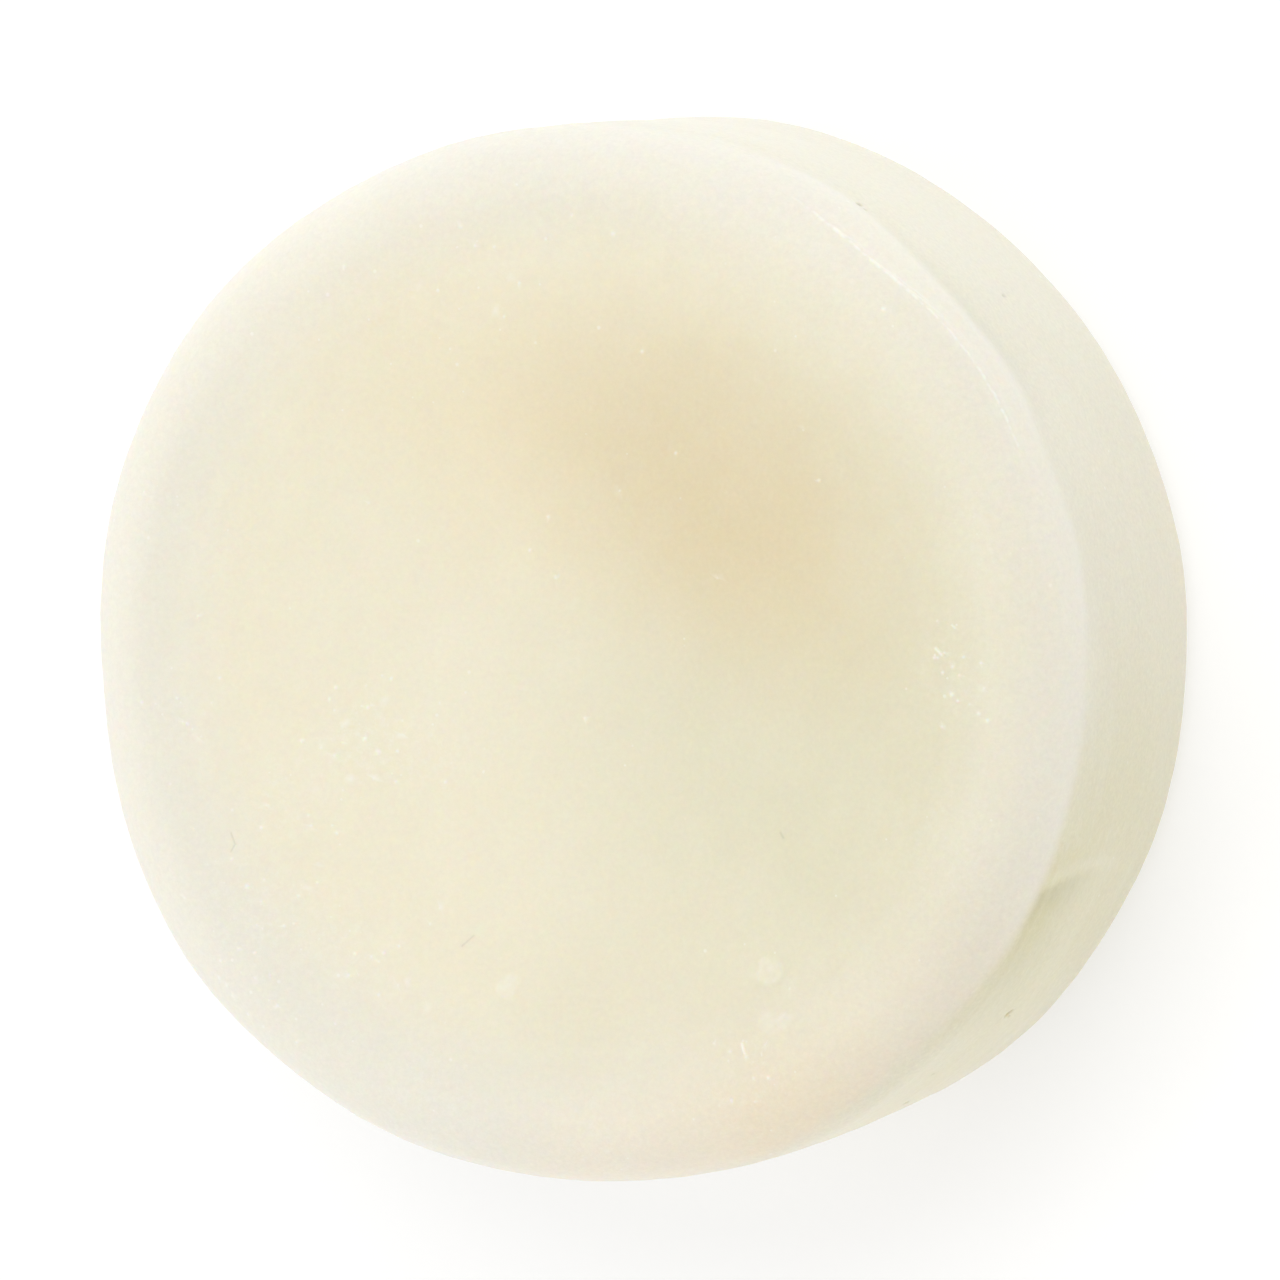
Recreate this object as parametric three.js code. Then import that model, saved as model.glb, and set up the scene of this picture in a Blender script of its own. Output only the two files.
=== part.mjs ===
// Shaving soap puck: one round cake of hard soap, cast in a mould.
// Units are millimetres. +Z is up, and the origin is the centre of the flat underside.
import * as THREE from "three";

// Driving dimensions
const DIAMETER = 70; // at the foot, where it is widest
const HEIGHT = 27; // from the underside to the crest of the rim
const TAPER = 0.3; // the side leans in by this much from foot to rim
const RIM_RADIUS = 5.2; // soft round edge between the face and the side
const FOOT_RADIUS = 2.4; // tighter round edge that the mould's floor leaves
const DISH_DEPTH = 1.6; // the face sinks by this much as the soap sets
const WAIST_DEPTH = 0.25; // shallow band under the rim, where the side draws in
const WAIST_WIDTH = 5;
const SEGMENTS = 96; // steps around the puck

// Worked out from them
const RADIUS = DIAMETER / 2;
const TOP_RADIUS = RADIUS - TAPER;
const DISH_RADIUS = TOP_RADIUS - RIM_RADIUS;
const WAIST_TOP = HEIGHT - RIM_RADIUS;

const SOAP = new THREE.MeshStandardMaterial({
  name: "soap",
  color: 0xf0e8d0,
  roughness: 0.55,
  metalness: 0,
});

// Points along a quarter circle of the side profile, from one angle to another, in degrees.
function roundEdge(centreRadius, centreHeight, radius, fromDegrees, toDegrees, steps) {
  const points = [];
  for (let i = 0; i <= steps; i++) {
    const angle = THREE.MathUtils.degToRad(THREE.MathUtils.lerp(fromDegrees, toDegrees, i / steps));
    const x = centreRadius + radius * Math.cos(angle);
    const y = centreHeight + radius * Math.sin(angle);
    points.push(new THREE.Vector2(x, y));
  }
  return points;
}

// The side, from the foot up to the rim: it tapers, and draws in to a waist just under the rim.
function side(steps) {
  const points = [];
  for (let i = 1; i < steps; i++) {
    const height = THREE.MathUtils.lerp(FOOT_RADIUS, WAIST_TOP, i / steps);
    const intoWaist = Math.max(0, 1 - (WAIST_TOP - height) / WAIST_WIDTH);
    const taper = TAPER * (i / steps);
    const inward = taper + WAIST_DEPTH * Math.sin(Math.PI * intoWaist) ** 2;
    points.push(new THREE.Vector2(RADIUS - inward, height));
  }
  return points;
}

// The dished face, from the rim's crest in to the centre, level at both ends.
function dish(steps) {
  const points = [];
  for (let i = 1; i <= steps; i++) {
    const outward = 1 - i / steps;
    const sunk = DISH_DEPTH * (1 - outward ** 2) ** 2;
    points.push(new THREE.Vector2(DISH_RADIUS * outward, HEIGHT - sunk));
  }
  return points;
}

// Half of the puck's section, from the middle of the underside round to the middle of the face.
function section() {
  return [
    new THREE.Vector2(0, 0),
    ...roundEdge(RADIUS - FOOT_RADIUS, FOOT_RADIUS, FOOT_RADIUS, -90, 0, 5),
    ...side(18),
    ...roundEdge(DISH_RADIUS, WAIST_TOP, RIM_RADIUS, 0, 90, 7),
    ...dish(8),
  ];
}

function soapPuck() {
  const mesh = new THREE.Mesh(new THREE.LatheGeometry(section(), SEGMENTS), SOAP);
  mesh.name = "soap_puck";
  mesh.rotation.x = Math.PI / 2; // a lathe turns about Y, and the puck's axis is Z
  return mesh;
}

const puck = new THREE.Group();
puck.add(soapPuck());

export default puck;
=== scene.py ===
"""Visual model of a shaving soap puck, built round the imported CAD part.

The puck lies on its flat underside with its dished face up. Shapes are worked out in
millimetres and turned into metres when a mesh is made. Angles go round the puck from +X to +Y.
"""

import math

import bmesh
import bpy
import numpy as np
from mathutils import Matrix, Vector


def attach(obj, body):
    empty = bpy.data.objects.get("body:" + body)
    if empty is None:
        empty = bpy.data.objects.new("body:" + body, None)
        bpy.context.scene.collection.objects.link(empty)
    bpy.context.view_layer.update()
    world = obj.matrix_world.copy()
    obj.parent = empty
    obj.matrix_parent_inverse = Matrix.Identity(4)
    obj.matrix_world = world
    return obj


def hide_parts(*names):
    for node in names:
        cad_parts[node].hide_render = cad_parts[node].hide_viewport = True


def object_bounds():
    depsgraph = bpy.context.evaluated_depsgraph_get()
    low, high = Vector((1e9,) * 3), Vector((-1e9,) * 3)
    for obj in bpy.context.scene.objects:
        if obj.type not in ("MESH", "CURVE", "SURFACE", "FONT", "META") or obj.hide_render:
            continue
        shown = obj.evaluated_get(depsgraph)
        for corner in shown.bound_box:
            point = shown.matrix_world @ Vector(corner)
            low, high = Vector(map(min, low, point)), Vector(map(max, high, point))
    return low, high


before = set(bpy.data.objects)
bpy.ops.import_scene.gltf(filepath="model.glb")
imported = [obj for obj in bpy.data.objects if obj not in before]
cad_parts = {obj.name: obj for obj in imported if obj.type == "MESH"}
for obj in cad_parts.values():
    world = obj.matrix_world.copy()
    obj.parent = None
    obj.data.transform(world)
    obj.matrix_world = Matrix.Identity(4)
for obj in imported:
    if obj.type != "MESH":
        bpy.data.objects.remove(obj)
cad_low, cad_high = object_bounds()

MM = 0.001
BODY = "root"

# ---------------------------------------------------------------- section of the puck
RADIUS = (cad_high.x - cad_low.x) / 2 / MM
HEIGHT = cad_high.z / MM
TAPER = 0.3  # the side leans in by this much from foot to rim
RIM_RADIUS = 5.2
FOOT_RADIUS = 2.4
DISH_DEPTH = 1.6
DISH_RADIUS = RADIUS - TAPER - RIM_RADIUS
RIM_HEIGHT = HEIGHT - RIM_RADIUS
FACE_STEPS, RIM_STEPS, SIDE_STEPS = 400, 160, 200  # points along each stretch of the section


def section():
    """The puck's half section, from the middle of the face out, down the side, and in under
    the foot: how far along each point is, its radius, its height and its outward normal."""
    out = np.linspace(0, 1, FACE_STEPS)
    face = (DISH_RADIUS * out, HEIGHT - DISH_DEPTH * (1 - out**2) ** 2)
    turn = np.linspace(math.pi / 2, 0, RIM_STEPS)
    rim = (DISH_RADIUS + RIM_RADIUS * np.cos(turn), RIM_HEIGHT + RIM_RADIUS * np.sin(turn))
    down = np.linspace(0, 1, SIDE_STEPS)
    side = (RADIUS - TAPER * (1 - down), RIM_HEIGHT + (FOOT_RADIUS - RIM_HEIGHT) * down)
    foot_ring = RADIUS - FOOT_RADIUS
    down_turn = turn[::-1]
    foot = (foot_ring + FOOT_RADIUS * np.cos(down_turn), FOOT_RADIUS - FOOT_RADIUS * np.sin(down_turn))
    base = (foot_ring * (1 - out), np.zeros_like(out))
    parts = [face] + [(r[1:], z[1:]) for r, z in (rim, side, foot, base)]
    radius = np.concatenate([r for r, _ in parts])
    height = np.concatenate([z for _, z in parts])
    along = np.concatenate([[0], np.cumsum(np.hypot(np.diff(radius), np.diff(height)))])
    d_radius, d_height = np.gradient(radius, along), np.gradient(height, along)
    size = np.hypot(d_radius, d_height)
    return along, radius, height, -d_height / size, d_radius / size


ALONG, SEC_RADIUS, SEC_HEIGHT, SEC_OUT, SEC_UP = section()
TOTAL = ALONG[-1]
FACE_END = np.interp(DISH_RADIUS, SEC_RADIUS[:FACE_STEPS], ALONG[:FACE_STEPS])
RIM_END = FACE_END + RIM_RADIUS * math.pi / 2
BASE_START = TOTAL - (RADIUS - FOOT_RADIUS)
SIDE_END = BASE_START - FOOT_RADIUS * math.pi / 2

# ---------------------------------------------------------------- helpers for shapes
def bell(distance, width):
    """1 in the middle, falling off to almost nothing at twice the width."""
    return np.exp(-((distance / width) ** 2))


def ease(low, high, value):
    """A smooth step from 0 at low to 1 at high, or from 1 to 0 if high is the lower."""
    share = np.clip((value - low) / (high - low), 0, 1)
    return share * share * (3 - 2 * share)


def off_angle(angle, middle):
    """How far round each angle is from a middle, in degrees, between -180 and 180."""
    return (np.degrees(angle) - middle + 180) % 360 - 180


def ripple(points, wavelength, seed, waves=28):
    """Smooth random hills, about 1 high, from waves that run all ways through the points."""
    dice = np.random.default_rng(seed)
    way = dice.normal(size=(waves, 3))
    way /= np.linalg.norm(way, axis=1)[:, None]
    pace = 2 * math.pi / (wavelength * dice.uniform(0.7, 1.5, waves))
    start = dice.uniform(0, 2 * math.pi, waves)
    hills = np.zeros(len(points))
    for k in range(waves):
        hills += np.cos(points @ way[k] * pace[k] + start[k])
    return hills / math.sqrt(waves / 2)


def uneven(points, high_and_long, seed):
    """Smooth random hills of a stated height and wavelength."""
    high, long = high_and_long
    return high * ripple(points, long, seed)


def at(along, angle):
    """Points on the plain puck."""
    radius = np.interp(along, ALONG, SEC_RADIUS)
    height = np.interp(along, ALONG, SEC_HEIGHT)
    return np.stack([radius * np.cos(angle), radius * np.sin(angle), height], 1)


def on_face(x, y):
    """A point on the plain dished face."""
    out = min(1, math.hypot(x, y) / DISH_RADIUS)
    return np.array([x, y, HEIGHT - DISH_DEPTH * (1 - out**2) ** 2])


def on_side(degrees, height):
    """A point on the plain side, between the foot and the rim."""
    lean = TAPER * (height - FOOT_RADIUS) / (RIM_HEIGHT - FOOT_RADIUS)
    turn = math.radians(degrees)
    radius = RADIUS - lean
    return np.array([radius * math.cos(turn), radius * math.sin(turn), height])


# ---------------------------------------------------------------- marks on the puck, in mm
PIT_TALLER = 2.0  # a pit is this much taller than it is wide, as a bubble that rose leaves it
# Each pit or blister is a place, how far it reaches, and how deep or high it is.
PITS = [
    (on_side(-42.0, 13.7), 0.21, 0.80),
    (on_side(-42.7, 12.9), 0.09, 0.16),
    (on_side(-51.0, 17.2), 0.14, 0.08),
    (on_side(-58.0, 12.8), 0.17, 0.20),
    (on_side(57.2, 20.4), 0.17, 0.24),
    (on_side(56.3, 20.6), 0.12, 0.11),
    (on_side(41.7, 12.9), 0.14, 0.10),
    (on_side(118.0, 9.0), 0.18, 0.22),
    (on_side(163.0, 16.5), 0.15, 0.14),
    (on_side(-150.0, 6.5), 0.20, 0.26),
    (on_side(-101.0, 14.0), 0.14, 0.12),
]
# A nick is a short thin cut: its ends, its half width and its depth.
NICKS = [
    (on_face(-7.0, -18.6), on_face(-6.2, -17.9), 0.05, 0.02),
    (on_face(-23.1, -11.5), on_face(-22.8, -12.2), 0.05, 0.02),
    (on_face(-22.8, -12.2), on_face(-23.1, -12.7), 0.05, 0.02),
    (on_face(15.0, -10.6), on_face(15.2, -10.9), 0.06, 0.03),
]
BLISTERS = [
    (on_face(-3.9, -21.3), 0.85, 0.040),
    (on_face(14.3, -19.4), 1.00, 0.050),
    (on_face(14.2, -22.6), 0.80, 0.025),
    (on_face(15.2, -22.5), 0.55, 0.020),
]
# A flake is a thin raised sliver: its ends, its half width and its height.
FLAKES = [
    (on_face(25.9, 1.4), on_face(26.3, 1.0), 0.09, 0.05),
    (on_face(12.4, -24.1), on_face(12.6, -24.7), 0.08, 0.05),
    (on_face(27.0, 2.9), on_face(27.2, 2.7), 0.06, 0.03),
]
CRUMBS = [  # x, y and size
    (26.9, -1.5, 0.13), (27.3, -1.9, 0.10), (29.3, -3.1, 0.13), (28.9, 0.5, 0.11),
    (12.7, -24.9, 0.12), (4.4, 27.5, 0.15), (6.2, 20.0, 0.12), (-5.1, 27.0, 0.12),
    (22.5, 22.7, 0.15), (25.8, 0.8, 0.11), (-13.8, -5.2, 0.15), (-12.9, -6.0, 0.17),
    (-18.2, -5.4, 0.15), (-8.2, -7.9, 0.13), (-21.9, -14.9, 0.16),
]
DRIFTS = [  # the middle of a drift of crumbs, how far it spreads, and how many
    (-13, -5.5, 4.5, 26), (-20, -14.5, 5.5, 26), (-22.5, -22, 4, 16), (-25.5, -3, 2.5, 12),
    (-12, -20, 4.5, 16), (26.5, 0, 3, 14), (12.5, -25.5, 3.5, 12), (-5, 26, 6, 12), (-2, 0, 18, 24),
]
OUT_OF_ROUND = [(3, 0.12, -101), (4, 0.21, -169), (5, 0.15, 28)]  # lobes, size, where
RIDGE_FROM, RIDGE_MIDDLE, RIDGE_TO = 20, 43, 66  # degrees round the rim
RIDGE_RISE = 0.055
RIDGE_HEIGHTS = ((20, 24.9), (25, 24.55), (34, 24.4), (43, 24.9), (50, 25.35), (57, 25.2), (66, 24.9))
# A thread leaves the ridge: where it starts and ends, in degrees, how far it slants away with each
# degree, in mm, and its share of THREAD_RISE.
THREAD_RISE = 0.05
THREADS = [(52, 41, 0.055, 0.8), (50, 37, 0.035, 0.5), (47, 35, 0.075, 0.4), (58, 49, 0.05, 0.5)]
RIM_EDGE = 22.9
RIM_DIPS = [  # how far the rim's edge dips, where round the puck, and how wide
    (1.1, 12, 8), (1.9, 32, 8), (0.5, 44, 6), (1.6, 58, 8), (-2.0, -50, 22),
]
CREASE_AT = -23.4  # degrees round the puck
CREASE_LIP, CREASE_FOLD = 0.015, 0.17  # how high its lip is, and how deep the side turns in past it
DUST_LINE_AT = -19.3
# Unevenness all over: how high it is and how far apart its waves are.
FACE_HILLS, FACE_DIMPLES, FACE_RINGS = (0.10, 26), (0.012, 3.4), (0.022, 2.1)
SIDE_HILLS, SIDE_DIMPLES = (0.07, 19), (0.008, 2.2)
MOULD_RINGS_RISE = 0.017


def scatter():
    """Every crumb on the face: the placed ones and those of the drifts."""
    dice = np.random.default_rng(21)
    places = list(CRUMBS)
    for x, y, spread, count in DRIFTS:
        for dx, dy in dice.normal(0, spread / 1.6, (count, 2)):
            places.append((x + dx, y + dy, dice.uniform(0.06, 0.13)))
    return [place for place in places if math.hypot(place[0], place[1]) < DISH_RADIUS + 3.2]


ALL_CRUMBS = scatter()


def crumbs(points):
    """How far into a crumb each point is, from 0 outside to 1 in its middle, and the crumb's size."""
    share, sizes = np.zeros(len(points)), np.zeros(len(points))
    for x, y, size in ALL_CRUMBS:
        away_x, away_y = points[:, 0] - x, points[:, 1] - y
        close = (np.abs(away_x) < 3 * size) & (np.abs(away_y) < 3 * size) & (points[:, 2] > 20)
        here = bell(np.hypot(away_x[close], away_y[close]), size)
        share[close], sizes[close] = np.maximum(share[close], here), size
    return share, sizes


def pit_distance(points, place):
    """Distance from each point to a pit's middle, shortened in height as pits are tall."""
    return np.linalg.norm((points - place) / [1, 1, PIT_TALLER], axis=1)


def cut_distance(points, start, end):
    """Distance from each point to a short straight cut."""
    run = end - start
    share = np.clip((points - start) @ run / (run @ run), 0, 1)
    return np.linalg.norm(points - start - share[:, None] * run, axis=1)


def ridge_line(angle):
    """How far along the section the ridge on the rim runs."""
    degrees = np.degrees(angle)
    wobble = 0.03 * np.sin(degrees / 1.7) + 0.02 * np.sin(degrees / 0.45)
    height = np.interp(degrees, *zip(*RIDGE_HEIGHTS)) + wobble
    return FACE_END + RIM_RADIUS * np.arccos((height - RIM_HEIGHT) / RIM_RADIUS)


def ridge(angle, along):
    """The raised seam on one side of the rim: a thin broken line, with threads that leave it."""
    degrees = np.degrees(angle)
    across = along - ridge_line(angle)
    here = ease(RIDGE_FROM, RIDGE_FROM + 9, degrees) * ease(RIDGE_TO, RIDGE_TO - 12, degrees)
    broken = np.clip(0.7 + 0.35 * np.sin(degrees * 2.3) + 0.35 * np.sin(degrees * 6.1 + 2), 0.15, 1)
    height = RIDGE_RISE * bell(across, 0.11) * here * broken
    for start, end, slant, share in THREADS:
        thread_here = ease(start, start - 3, degrees) * ease(end, end + 3, degrees)
        height += THREAD_RISE * share * bell(across - slant * (start - degrees), 0.08) * thread_here
    return height


def rim_edge(angle):
    """The height where the pale rim gives way to the side: a wavy line, with dips by the ridge."""
    dips = (drop * bell(off_angle(angle, middle), width) for drop, middle, width in RIM_DIPS)
    return RIM_EDGE - sum(dips)


def waist(points, angle):
    """How deep the band under the rim is drawn in, most on the ridge's side."""
    depth = 0.05 + 0.25 * bell(off_angle(angle, 40), 25) + 0.03 * ripple(points, 30, 5)
    return depth * bell(points[:, 2] - rim_edge(angle) + 1.7, 1.9)


def crease_line(height):
    """The angle of the upright crease, which bows a little, in degrees."""
    return CREASE_AT - 0.022 * (height - 17) ** 2


def crease_reach(height):
    """1 along the crease, fading to 0 at the rim and at the foot."""
    return ease(24.0, 22.6, height) * ease(5, 13, height)


def relief(points, angle, along):
    """How far the soap's skin stands proud of the plain puck, in mm, at each point."""
    out = np.hypot(points[:, 0], points[:, 1])
    up = points[:, 2]
    on_top = ease(FACE_END + 3, FACE_END - 3, along)
    on_wall = ease(FACE_END + 2, FACE_END + 6, along) * ease(BASE_START, BASE_START - 3, along)
    below = ease(BASE_START - 1, BASE_START + 2, along)

    height = on_top * uneven(points, FACE_HILLS, 1) + on_wall * uneven(points, SIDE_HILLS, 2)
    height += on_top * uneven(points, FACE_DIMPLES, 3)
    ring_rise, ring_apart = FACE_RINGS
    ring_waves = np.sin(2 * math.pi * (out + 0.25 * ripple(points, 14, 4)) / ring_apart)
    height += ring_rise * ring_waves * bell(out - DISH_RADIUS + 3.5, 3.6) * on_top

    # The side: a waist under the rim, rings left by the mould, and fine dimples.
    height -= waist(points, angle) * on_wall
    rings = 0.6 * ripple(points * [0.10, 0.10, 1], 3.4, 6) + 0.4 * ripple(points * [0.2, 0.2, 1], 1.8, 7)
    height += MOULD_RINGS_RISE * rings * on_wall
    height += on_wall * uneven(points, SIDE_DIMPLES, 8)

    # The upright crease, past which the side turns in.
    past = -off_angle(angle, crease_line(up))
    fold = ease(-0.8, 2.4, past) * ease(22, 3, past)
    height += (CREASE_LIP * bell(past + 1.1, 1.0) - CREASE_FOLD * fold) * on_wall * crease_reach(up)

    height += ridge(angle, along)
    for place, reach, depth in PITS:
        height -= depth * bell(pit_distance(points, place), reach)
    for start, end, half, depth in NICKS:
        height -= depth * bell(cut_distance(points, start, end), half)
    for start, end, half, rise in FLAKES:
        height += rise * bell(cut_distance(points, start, end), half)
    share, size = crumbs(points)
    height += 0.35 * size * share
    for place, reach, rise in BLISTERS:
        away = np.linalg.norm(points - place, axis=1)
        height += rise * (ease(reach, reach * 0.75, away) - 0.5 * bell(away, reach * 0.5))

    # The underside: drawn in a little as it set, with rings and dimples, and never below the floor.
    under = 0.10 + 0.08 * np.cos(out / 4.2) + 0.03 * np.cos(out / 1.3 + 1) + 0.03 * ripple(points, 9, 9)
    height -= below * np.maximum(under, 0) * ease(31.5, 27, out)
    return height


def pale_and_highlight_marks(points, angle, along):
    """Where the soap has dried pale, from 0 to 1: on the ridge, the blisters and the crumbs, and
    a painted highlight along the crease's lip.
    """
    glow = bell(along - ridge_line(angle) - 0.3, 0.65) * bell(off_angle(angle, RIDGE_MIDDLE), 15)
    pale = np.maximum(np.clip(ridge(angle, along) / RIDGE_RISE, 0, 0.9), 0.30 * glow)
    for start, end, half, _ in FLAKES:
        pale = np.maximum(pale, bell(cut_distance(points, start, end), half * 1.1))
    pale = np.maximum(pale, 0.9 * crumbs(points)[0])
    for place, reach, _ in BLISTERS:
        close = np.linalg.norm(points - place, axis=1) < 2 * reach
        spots = points[close]
        away = np.linalg.norm(spots - place, axis=1) * (1 + 0.12 * ripple(spots, 1.1, 10))
        patchy = np.clip(0.25 + 0.08 * ripple(spots, 0.5, 11), 0, 1)
        pale[close] = np.maximum(pale[close], patchy * ease(reach * 1.1, reach * 0.7, away))
    up = points[:, 2]
    past = -off_angle(angle, crease_line(up))
    # A painted highlight along the lip of the crease.
    pale = np.maximum(pale, 0.2 * bell(past + 1.1, 0.8) * crease_reach(up))
    dots = np.clip(np.sin(up * 7.1) + np.sin(up * 3.3 + 1), 0, 1) * crease_reach(up)
    return np.maximum(pale, 0.3 * dots * bell(off_angle(angle, DUST_LINE_AT), 0.3))


def painted_shade_marks(points, angle, along):
    """Painted shade, from 0 to 1: in pits and nicks, in the groove by the ridge, and
    under the crease, where shade falls."""
    painted_shade = np.zeros(len(points))
    for place, reach, depth in PITS:
        # Deeper pits get more painted shade.
        shade = min(1, depth / 0.4)
        painted_shade = np.maximum(painted_shade, shade * bell(pit_distance(points, place), reach))
    for start, end, half, _ in NICKS:
        painted_shade = np.maximum(painted_shade, 0.14 * bell(cut_distance(points, start, end), half * 1.2))
    up = points[:, 2]
    past = -off_angle(angle, crease_line(up))
    # Painted shade under the crease, where the side turns in away from the light.
    crease_shade = ease(-0.6, 0.8, past) * (0.11 * ease(5.5, 1.0, past) + 0.05 * ease(26, 4, past))
    crease_shade *= crease_reach(up) * ease(11, 21, up)
    # Painted shade in the groove under the rim, by the ridge.
    groove = 0.06 * bell(up - rim_edge(angle) + 1.5, 1.0) * bell(off_angle(angle, 42), 17)
    return np.maximum(painted_shade, np.maximum(crease_shade, groove))


def side_marks(points, angle, along):
    """Where the soap has the side's colour, from 0 to 1."""
    edge = rim_edge(angle)
    return ease(edge + 0.8, edge - 0.8, points[:, 2]) * ease(BASE_START + 4, BASE_START - 1, along)


def skin(angle, along):
    """Points on the puck's real surface, with its lobes and its relief."""
    points = at(along, angle)
    raised = relief(points, angle, along)
    outward = np.interp(along, ALONG, SEC_OUT) * raised
    for lobes, size, where in OUT_OF_ROUND:
        share = (np.interp(along, ALONG, SEC_RADIUS) / RADIUS) ** 2
        outward += size * share * np.cos(lobes * angle - math.radians(where))
    points[:, 0] += outward * np.cos(angle)
    points[:, 1] += outward * np.sin(angle)
    points[:, 2] = np.maximum(0, points[:, 2] + np.interp(along, ALONG, SEC_UP) * raised)
    return points

# ---------------------------------------------------------------- the skin's mesh
AROUND = 480  # steps round the puck, a multiple of 8
HALF = AROUND // 8  # rings from the middle of a disc to its edge


def disc_patch():
    """A square grid drawn out to a disc: each point's ring, as a share of the disc, its angle,
    and the four-sided faces, and the edge's points in order round it."""
    i, j = np.meshgrid(np.arange(-HALF, HALF + 1), np.arange(-HALF, HALF + 1), indexing="ij")
    x, y = i.ravel().astype(float), j.ravel().astype(float)
    ring = np.maximum(np.abs(x), np.abs(y))
    wide = np.abs(x) >= np.abs(y)
    slope = np.where(wide, y / np.where(x == 0, 1, x), x / np.where(y == 0, 1, y))
    angle = np.where(wide, np.where(x < 0, math.pi, 0), np.where(y < 0, -math.pi / 2, math.pi / 2))
    angle = angle + np.where(wide, 1, -1) * slope * math.pi / 4
    side = 2 * HALF + 1
    corner = (np.arange(side - 1)[:, None] * side + np.arange(side - 1)).ravel()
    faces = np.stack([corner, corner + side, corner + side + 1, corner + 1], 1)
    edge = np.flatnonzero(ring == HALF)
    edge = edge[np.argsort(np.mod(angle[edge] + 1e-9, 2 * math.pi))]
    return ring / HALF, angle, faces, edge


def wrap_rows():
    """How far along the section each row of the side is, closer together on the round edges."""
    rim = np.linspace(FACE_END, RIM_END, 24)[1:]
    side = np.linspace(RIM_END, SIDE_END, 43)[1:]
    foot = np.linspace(SIDE_END, BASE_START, 11)[1:-1]
    return np.concatenate([rim, side, foot])


def plain_puck():
    """The even mesh of the whole puck: each point's angle and how far along it is, and the faces."""
    ring, turn, squares, edge = disc_patch()
    rows = wrap_rows()
    around = np.mod(turn[edge], 2 * math.pi)
    angle = [turn]
    along = [np.interp(ring * DISH_RADIUS, SEC_RADIUS[:FACE_STEPS], ALONG[:FACE_STEPS])]
    faces = [squares]
    above = edge
    count = len(turn)
    for row in rows:
        below = count + np.arange(AROUND)
        angle.append(around)
        along.append(np.full(AROUND, row))
        faces.append(np.stack([above, below, np.roll(below, -1), np.roll(above, -1)], 1))
        above, count = below, count + AROUND
    base_edge = count + edge
    angle.append(turn)
    along.append(TOTAL - ring * (TOTAL - BASE_START))
    faces.append(np.stack([above, base_edge, np.roll(base_edge, -1), np.roll(above, -1)], 1))
    faces.append(count + squares[:, ::-1])
    return np.concatenate(angle), np.concatenate(along), np.concatenate(faces)


def near_a_mark(middles, angle, along):
    """Whether each face lies by a mark that needs a finer mesh."""
    by_ridge = np.abs(along - ridge_line(angle) - 0.4) < 1.7
    near = by_ridge & (np.abs(off_angle(angle, RIDGE_MIDDLE)) < 23)
    by_crease = np.abs(off_angle(angle, crease_line(middles[:, 2]))) < 2.2
    near |= by_crease & (np.abs(middles[:, 2] - 14) < 10) & (along > FACE_END + 2)
    for place, reach, _ in PITS:
        near |= pit_distance(middles, place) < 2 * reach + 0.2
    for start, end, half, _ in NICKS + FLAKES:
        near |= cut_distance(middles, start, end) < 2 * half + 0.25
    near |= crumbs(middles)[0] > 0.001
    for place, reach, _ in BLISTERS:
        near |= np.linalg.norm(middles - place, axis=1) < reach + 0.3
    return near


def near_a_fine_mark(middles, angle, along):
    """Whether each face lies on a mark so small that it needs the finest mesh."""
    across = along - ridge_line(angle)
    near = (across > -0.3) & (across < 0.9) & (np.abs(off_angle(angle, RIDGE_MIDDLE)) < 22)
    for start, end, half, _ in NICKS + FLAKES:
        near |= cut_distance(middles, start, end) < 2 * half
    for place, reach, _ in PITS:
        near |= pit_distance(middles, place) < 2 * reach
    return near | (crumbs(middles)[0] > 0.02)


def refine(mesh, chooser):
    """Splits the chosen faces in four."""
    layer = mesh.verts.layers.float["along"]
    middles = np.array([f.calc_center_median() for f in mesh.faces])
    along = np.array([sum(v[layer] for v in f.verts) / len(f.verts) for f in mesh.faces])
    angle = np.arctan2(middles[:, 1], middles[:, 0])
    chosen = chooser(middles, angle, along)
    mesh.faces.ensure_lookup_table()
    edges = {e for k in np.flatnonzero(chosen) for e in mesh.faces[k].edges}
    order = sorted(edges, key=lambda e: e.index)
    bmesh.ops.subdivide_edges(mesh, edges=order, cuts=1, use_grid_fill=True)
    mesh.verts.index_update()
    mesh.edges.index_update()


def make_puck():
    """The puck's skin as one closed mesh."""
    angle, along, faces = plain_puck()
    data = bpy.data.meshes.new("shaving_soap_puck")
    data.from_pydata(at(along, angle).tolist(), [], faces.tolist())
    mesh = bmesh.new()
    mesh.from_mesh(data)
    layer = mesh.verts.layers.float.new("along")
    mesh.verts.ensure_lookup_table()
    for vert, value in zip(mesh.verts, along):
        vert[layer] = value
    for chooser in (near_a_mark, near_a_mark, near_a_fine_mark):
        refine(mesh, chooser)
    spots = np.array([v.co for v in mesh.verts])
    along = np.array([v[layer] for v in mesh.verts])
    angle = np.arctan2(spots[:, 1], spots[:, 0])
    placed = skin(angle, along) * MM
    for vert, spot in zip(mesh.verts, placed):
        vert.co = spot
    mesh.verts.layers.float.remove(layer)
    for face in mesh.faces:
        face.smooth = True
    bmesh.ops.recalc_face_normals(mesh, faces=mesh.faces)
    mesh.to_mesh(data)
    mesh.free()
    # Each point carries its pale marks and painted highlight, its painted shade and its share of the
    # side's colour.
    for name, marks in (("pale", pale_and_highlight_marks), ("painted_shade", painted_shade_marks), ("side", side_marks)):
        values = marks(spots, angle, along).astype(np.float32)
        data.attributes.new(name, "FLOAT", "POINT").data.foreach_set("value", values)
    puck = bpy.data.objects.new("shaving_soap_puck", data)
    bpy.context.scene.collection.objects.link(puck)
    return puck

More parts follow.
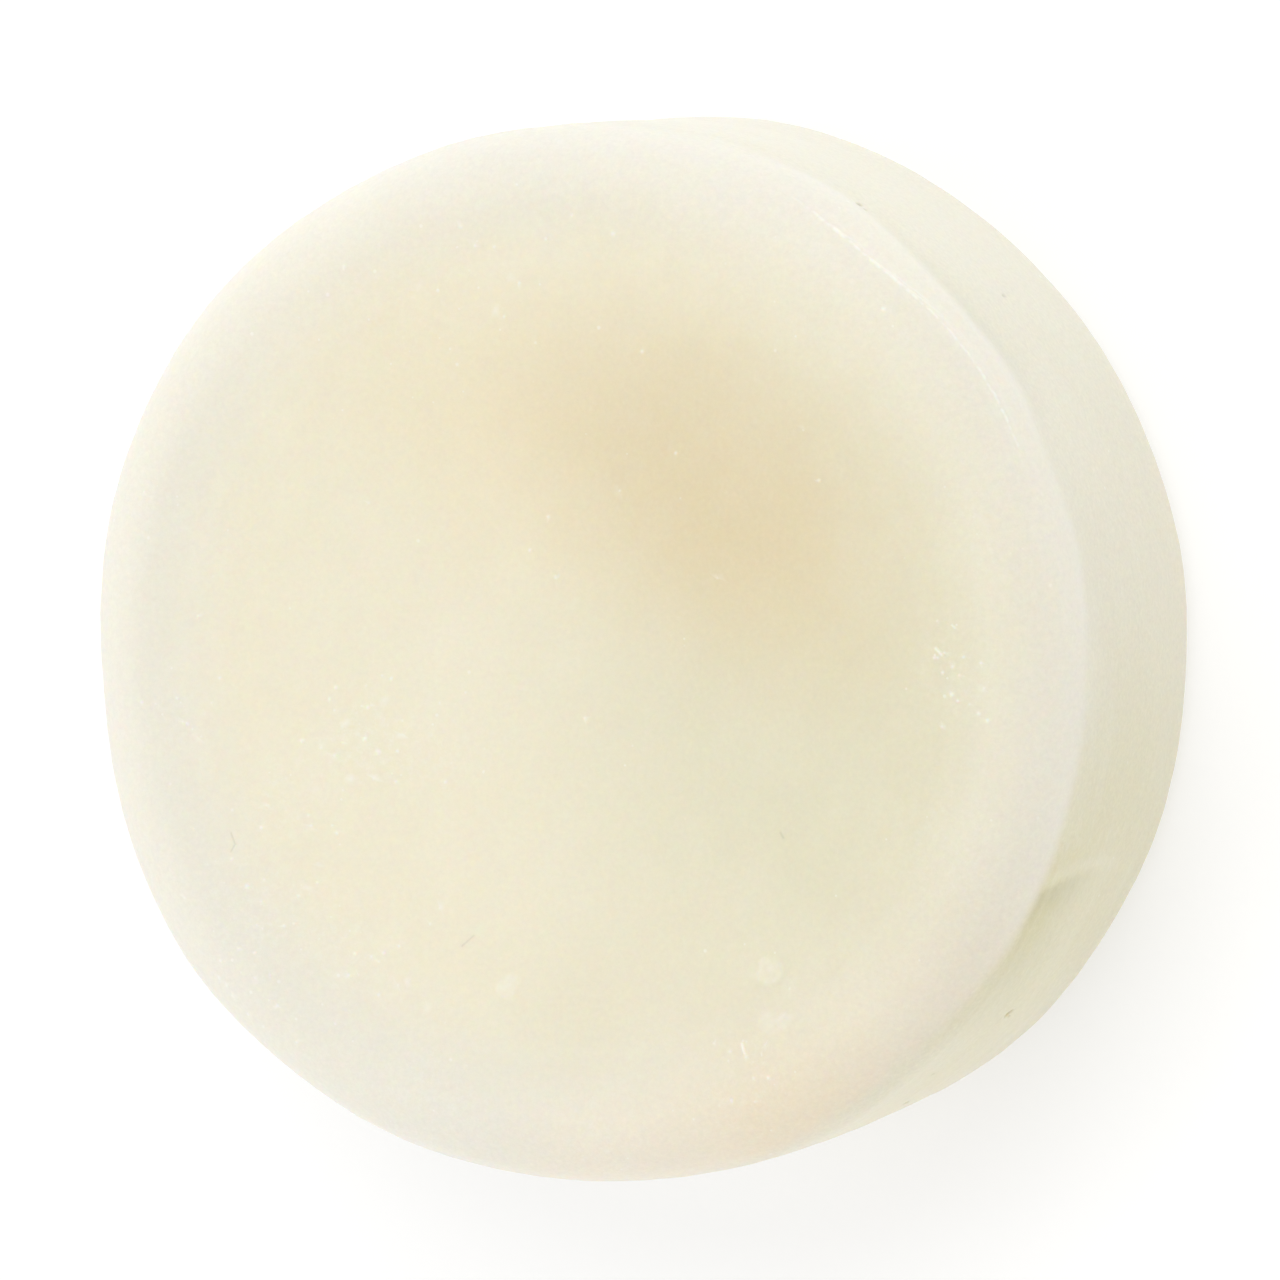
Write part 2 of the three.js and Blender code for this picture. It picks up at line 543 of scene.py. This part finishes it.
# ---------------------------------------------------------------- material
class Nodes:
    """Short names for adding shader nodes to one material and joining them."""

    def __init__(self, name):
        self.material = bpy.data.materials.new(name)
        self.material.use_nodes = True
        self.tree = self.material.node_tree
        self.shader = self.tree.nodes["Principled BSDF"]
        self.place = self.add("ShaderNodeTexCoord").outputs["Object"]

    def add(self, kind, inputs=(), **settings):
        """A new node, with its inputs by name or number, and its settings."""
        node = self.tree.nodes.new(kind)
        for name, value in settings.items():
            setattr(node, name, value)
        for name, value in dict(inputs).items():
            self.put(node.inputs[name], value)
        return node

    def put(self, socket, value):
        """Joins another node's output to a socket, or sets the socket to a value."""
        if isinstance(value, bpy.types.NodeSocket):
            self.tree.links.new(value, socket)
        else:
            socket.default_value = value

    def math(self, operation, *values, clamp=False):
        """What a calculation with numbers gives."""
        node = self.add("ShaderNodeMath", enumerate(values), operation=operation, use_clamp=clamp)
        return node.outputs[0]

    def vector(self, operation, *values):
        """What a calculation with vectors gives: choose its "Vector" or its "Value"."""
        return self.add("ShaderNodeVectorMath", enumerate(values), operation=operation).outputs

    def scaled(self, vector, factors):
        """A vector or colour with each of its parts multiplied."""
        return self.vector("MULTIPLY", vector, factors)["Vector"]

    def step(self, value, low, high):
        """A smooth step from 0 at low to 1 at high."""
        ranges = {"Value": value, "From Min": low, "From Max": high}
        node = self.add("ShaderNodeMapRange", ranges, interpolation_type="SMOOTHSTEP")
        return node.outputs["Result"]

    def noise(self, size_mm, detail=2.0, vector=None, rough=0.5):
        """Noise from 0 to 1, with its largest blobs about this size."""
        inputs = {"Scale": 1 / (size_mm * MM), "Detail": detail, "Roughness": rough}
        inputs["Vector"] = vector or self.place
        return self.add("ShaderNodeTexNoise", inputs).outputs["Fac"]

    def attribute(self, name):
        """A number that the mesh carries at each of its points."""
        return self.add("ShaderNodeAttribute", attribute_name=name).outputs["Fac"]

    def near(self, where_mm, full_mm, end_mm):
        """1 near a point, fading to 0 at a distance."""
        spot = tuple(v * MM for v in where_mm)
        away = self.vector("DISTANCE", self.place, spot)["Value"]
        return self.math("SUBTRACT", 1.0, self.step(away, full_mm * MM, end_mm * MM))

    def oval(self, where_mm, turned, half_mm, full):
        """1 within a share of an upright oval column, fading to 0 at its edge."""
        spot = tuple(v * MM for v in where_mm)
        place = self.vector("SUBTRACT", self.place, spot)["Vector"]
        angle = {"Vector": place, "Angle": -math.radians(turned)}
        place = self.add("ShaderNodeVectorRotate", angle, rotation_type="Z_AXIS").outputs[0]
        place = self.scaled(place, (1 / (half_mm[0] * MM), 1 / (half_mm[1] * MM), 0))
        out = self.vector("LENGTH", place)["Value"]
        return self.step(out, 1, full)

    def tinted(self, colour, tints):
        """A colour with soft patches of others."""
        for where, full, end, tint, strength in tints:
            colour = self.mix(self.math("MULTIPLY", self.near(where, full, end), strength), colour, tint)
        return colour

    def mix(self, share, below, above):
        """A colour that goes from one to the other as the share goes from 0 to 1."""
        node = self.add("ShaderNodeMix", data_type="RGBA")
        self.put(node.inputs[0], share)
        for socket, value in ((node.inputs[6], below), (node.inputs[7], above)):
            self.put(socket, value if isinstance(value, bpy.types.NodeSocket) else (*value, 1))
        return node.outputs[2]


FACE = (0.86, 0.81, 0.65)
FACE_SHADE = (0.77, 0.735, 0.56)  # a wide soft oval to the right of the face
FACE_FOOT = (0.81, 0.765, 0.605)  # towards the rim at the -Y side
TAIL = (0.85, 0.765, 0.555)  # a fainter oval beside the heart
HEART = (0.77, 0.675, 0.46)  # the warm oval where the soap looks deepest
RIM = (0.825, 0.80, 0.705)
SIDE = (0.795, 0.77, 0.66)
# Ovals on the face: the middle, how far it is turned, its two half widths, and the share of them
# within which it is full.
SHADE_OVAL = ((17, -3, 26), 0, (27, 34), 0.15)
TAIL_OVAL = ((-2, 14, 26), -30, (21, 14), 0.1)
HEART_OVAL = ((11, 11, 26), -43, (22, 14.5), 0.1)
FACE_OVAL = ((2, 1.5, 26), 0, (33, 33), 0.72)
# Tints: where it is strongest, how far it is full, where it ends, its colour and its strength.
RIM_TINTS = [
    ((3, 33, 25), 4, 26, (0.80, 0.785, 0.715), 0.8),
    ((33, -3, 25), 4, 22, (0.845, 0.815, 0.715), 0.9),
    ((27, -17, 26), 2, 13, (0.82, 0.785, 0.675), 0.7),
    ((24, -24, 25), 4, 16, (0.825, 0.77, 0.64), 0.9),
    ((15, -31, 24), 2, 14, (0.845, 0.755, 0.585), 0.95),
    ((4, -34, 24), 2, 12, (0.86, 0.79, 0.66), 0.8),
]
SIDE_TINTS = [
    ((24, 25, 16), 4, 24, (0.79, 0.765, 0.635), 0.8),
    ((35, 2, 10), 4, 26, (0.79, 0.75, 0.60), 0.85),
    ((17, -31, 12), 4, 20, (0.79, 0.73, 0.55), 0.9),
    # These three darken the side past the crease towards olive: painted shade where the side turns away
    # from the light, over the side's own olive tint.
    ((31, -17, 14), 6, 24, (0.735, 0.69, 0.475), 0.9),
    ((30.5, -16.5, 21), 0, 12, (0.70, 0.66, 0.44), 0.7),
    ((31, -15.2, 21.5), 0, 6, (0.69, 0.64, 0.36), 0.7),
]
DUST = [  # x, y, how far it reaches and how thick it is
    (-14.2, -5.2, 5, 0.32), (-9.0, -5.8, 5, 0.22), (-20, -9, 6, 0.20), (-21.5, -17, 8, 0.24),
    (-15, -19, 7, 0.20), (-8.5, -25, 7, 0.15), (-27, -4, 6, 0.16), (-10, -31, 7, 0.22),
    (2, -32, 7, 0.20), (13, -27, 7, 0.18), (27, -12, 8, 0.16), (27, 0, 5, 0.20),
    (29, 9, 7, 0.15), (-9, 23, 12, 0.10), (-28, 9, 10, 0.12),
]
PALE = (0.90, 0.87, 0.77)
WHITE = (0.95, 0.94, 0.89)
# The colour of the painted shade in pits, nicks, the groove and under the crease.
PAINTED_SHADE_COLOUR = (0.08, 0.07, 0.03)


def soap_material():
    """Hard ivory soap: waxy and slightly see-through, with soft tints, pale bloom and specks."""
    n = Nodes("hard_soap")
    axis = n.vector("LENGTH", n.scaled(n.place, (1, 1, 0)))["Value"]
    z = n.add("ShaderNodeSeparateXYZ", {0: n.place}).outputs["Z"]
    heart = n.oval(*HEART_OVAL)
    face = n.mix(n.oval(*SHADE_OVAL), FACE, FACE_SHADE)
    face = n.mix(n.math("MULTIPLY", n.near((5, -25, 27), 0, 15), 0.85), face, FACE_FOOT)
    face = n.mix(n.math("MULTIPLY", n.oval(*TAIL_OVAL), 0.7), face, TAIL)
    face = n.mix(heart, face, HEART)
    on_face = n.math("MULTIPLY", n.oval(*FACE_OVAL), n.step(z, 20 * MM, 26 * MM))
    colour = n.mix(on_face, n.tinted(RIM, RIM_TINTS), face)
    colour = n.mix(n.attribute("side"), colour, n.tinted(SIDE, SIDE_TINTS))

    # The skin is paler where it has dried, in faint clouds, rings on the side and a fine grain, and
    # it is mottled all over, most on the side.
    rim = n.step(axis, 24 * MM, 34 * MM)
    cloud = n.step(n.noise(6, 5, rough=0.62), 0.35, 0.75)
    streaks = n.noise(1.3, 3, n.scaled(n.place, (0.12, 0.12, 1)))
    grain = n.noise(0.35, 3, rough=0.7)
    bloom = n.math("MULTIPLY", cloud, 0.10)
    bloom = n.math("MULTIPLY_ADD", n.math("MULTIPLY", n.step(streaks, 0.45, 0.75), rim), 0.07, bloom)
    grain_share = n.math("MULTIPLY_ADD", rim, 0.10, 0.10)
    bloom = n.math("MULTIPLY_ADD", n.step(grain, 0.40, 0.80), grain_share, bloom)
    colour = n.mix(bloom, colour, PALE)
    coarse = n.math("MULTIPLY_ADD", n.attribute("side"), 0.07, n.math("MULTIPLY_ADD", rim, 0.06, 0.12))
    mottle = n.math("MULTIPLY", n.math("SUBTRACT", n.noise(0.36, 4, rough=0.8), 0.5), coarse)
    colour = n.scaled(colour, n.math("ADD", mottle, 1.0))

    # Soft patches of dust, each of fine grains, with white specks that are most common in them.
    dusty = 0.0
    for x, y, reach, amount in DUST:
        dusty = n.math("MULTIPLY_ADD", n.near((x, y, 26), 0, reach), amount, dusty)
    grains = n.step(n.noise(0.6, 4, rough=0.85), 0.46, 0.70)
    colour = n.mix(n.math("MULTIPLY", dusty, grains, clamp=True), colour, WHITE)
    for size_mm, rarest in ((0.7, 0.985), (1.1, 0.972)):
        cells = n.add("ShaderNodeTexVoronoi", {"Vector": n.place, "Scale": 1 / (size_mm * MM)})
        speck = n.math("SUBTRACT", 1.0, n.step(cells.outputs["Distance"], 0.06, 0.16))
        chance = n.add("ShaderNodeSeparateColor", {"Color": cells.outputs["Color"]}).outputs[0]
        chosen = n.math("GREATER_THAN", chance, n.math("MULTIPLY_ADD", dusty, -1.3, rarest))
        colour = n.mix(n.math("MULTIPLY", n.math("MULTIPLY", speck, chosen), 0.45), colour, WHITE)

    # The pale marks, with the painted highlight on the crease's lip, go towards white.
    colour = n.mix(n.math("MULTIPLY", n.attribute("pale"), 0.6), colour, WHITE)
    # Painted shade: pits, nicks, the groove under the rim and the side under the crease go towards
    # near-black olive.
    colour = n.mix(n.math("MULTIPLY", n.attribute("painted_shade"), 0.9), colour, PAINTED_SHADE_COLOUR)
    n.put(n.shader.inputs["Base Color"], colour)

    rough = n.math("MULTIPLY_ADD", cloud, 0.10, 0.42)
    n.put(n.shader.inputs["Roughness"], n.math("MULTIPLY_ADD", grain, 0.14, rough))

    height = n.math("MULTIPLY_ADD", n.noise(1.4, 2), 0.9, n.math("MULTIPLY", grain, 0.35))
    height = n.math("MULTIPLY_ADD", n.math("MULTIPLY", streaks, rim), 0.6, height)
    bump = n.add("ShaderNodeBump", {"Strength": 0.6, "Distance": 0.00004, "Height": height})
    n.put(n.shader.inputs["Normal"], bump.outputs["Normal"])

    n.shader.subsurface_method = "RANDOM_WALK"
    n.shader.inputs["Subsurface Weight"].default_value = 1.0
    n.shader.inputs["Subsurface Radius"].default_value = (1.0, 0.72, 0.42)
    n.shader.inputs["Subsurface Scale"].default_value = 1.6 * MM
    n.shader.inputs["IOR"].default_value = 1.46
    return n.material


# ---------------------------------------------------------------- the object
puck = make_puck()
puck.data.materials.append(soap_material())
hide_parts("soap_puck")
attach(puck, BODY)

# ---------------------------------------------------------------- floor and light
FLOOR_RADIUS = 3.0
SHEET_GLOW = 0.40  # the floor is a white sheet, lit from below too
SKY = 0.60


def make_floor():
    """A wide round floor under the puck."""
    mesh = bmesh.new()
    bmesh.ops.create_circle(mesh, cap_ends=True, segments=96, radius=FLOOR_RADIUS)
    data = bpy.data.meshes.new("floor")
    mesh.to_mesh(data)
    mesh.free()
    floor = bpy.data.objects.new("floor", data)
    bpy.context.scene.collection.objects.link(floor)
    n = Nodes("floor_paint")
    tone = n.noise(300, 2)
    n.put(n.shader.inputs["Base Color"], n.mix(tone, (0.62, 0.62, 0.62), (0.66, 0.66, 0.66)))
    n.shader.inputs["Roughness"].default_value = 0.9
    n.shader.inputs["Specular IOR Level"].default_value = 0.1
    n.shader.inputs["Emission Color"].default_value = (1, 1, 1, 1)
    n.shader.inputs["Emission Strength"].default_value = SHEET_GLOW
    data.materials.append(n.material)
    return floor


def make_light(name, azimuth, elevation, distance, size, power):
    """A square soft light that faces the puck. Azimuth goes from +X to +Y, in degrees."""
    lamp = bpy.data.lights.new(name, "AREA")
    lamp.size = size
    lamp.energy = power
    light = bpy.data.objects.new(name, lamp)
    turn, lift = math.radians(azimuth), math.radians(elevation)
    way = Vector((math.cos(turn) * math.cos(lift), math.sin(turn) * math.cos(lift), math.sin(lift)))
    light.location = way * distance
    light.rotation_euler = way.to_track_quat("Z", "Y").to_euler()
    light.visible_camera = False
    bpy.context.scene.collection.objects.link(light)


def make_world(brightness):
    """An even white light from all round."""
    world = bpy.data.worlds.new("studio")
    world.use_nodes = True
    background = world.node_tree.nodes["Background"]
    background.inputs["Color"].default_value = (1.0, 1.0, 1.0, 1)
    background.inputs["Strength"].default_value = brightness
    bpy.context.scene.world = world


make_floor()
make_world(SKY)
make_light("key", azimuth=90, elevation=55, distance=1.8, size=1.2, power=9.6)
make_light("fill_behind", azimuth=75, elevation=25, distance=1.8, size=1.4, power=6.0)
make_light("fill_left", azimuth=195, elevation=25, distance=1.8, size=1.8, power=9.5)
make_light("fill_front", azimuth=285, elevation=25, distance=1.8, size=1.6, power=6.5)

# ---------------------------------------------------------------- camera
TILT = 21.8  # degrees between the line of sight and straight down
SIDE_SEEN = 12.2  # which side of the puck shows, degrees from +X
ROLL = 12.2  # turn of the picture
DISTANCE = 430  # mm from the middle of the puck
LENS = 182.5
AIM = (0.58, 0.48)  # mm: how far right and up of the puck's middle the picture is centred


def make_camera():
    """The camera, on the line of sight that TILT and SIDE_SEEN give."""
    tilt, side, roll = (math.radians(v) for v in (TILT, SIDE_SEEN, ROLL))
    towards = Vector((math.cos(side), math.sin(side), 0))
    back = math.sin(tilt) * towards + math.cos(tilt) * Vector((0, 0, 1))
    across = math.cos(tilt) * towards - math.sin(tilt) * Vector((0, 0, 1))
    along = Vector((-math.sin(side), math.cos(side), 0))
    right = math.cos(roll) * across - math.sin(roll) * along
    up = math.sin(roll) * across + math.cos(roll) * along
    lens = bpy.data.cameras.new("camera")
    lens.lens = LENS
    lens.sensor_width = 36
    lens.clip_start = 0.01
    camera = bpy.data.objects.new("camera", lens)
    spot = Vector((0, 0, HEIGHT / 2)) + back * DISTANCE + right * AIM[0] + up * AIM[1]
    facing = Matrix((right, up, back)).transposed().to_4x4()
    camera.matrix_world = Matrix.Translation(spot * MM) @ facing
    bpy.context.scene.collection.objects.link(camera)
    bpy.context.scene.camera = camera


make_camera()
bpy.context.scene.view_settings.view_transform = "Standard"
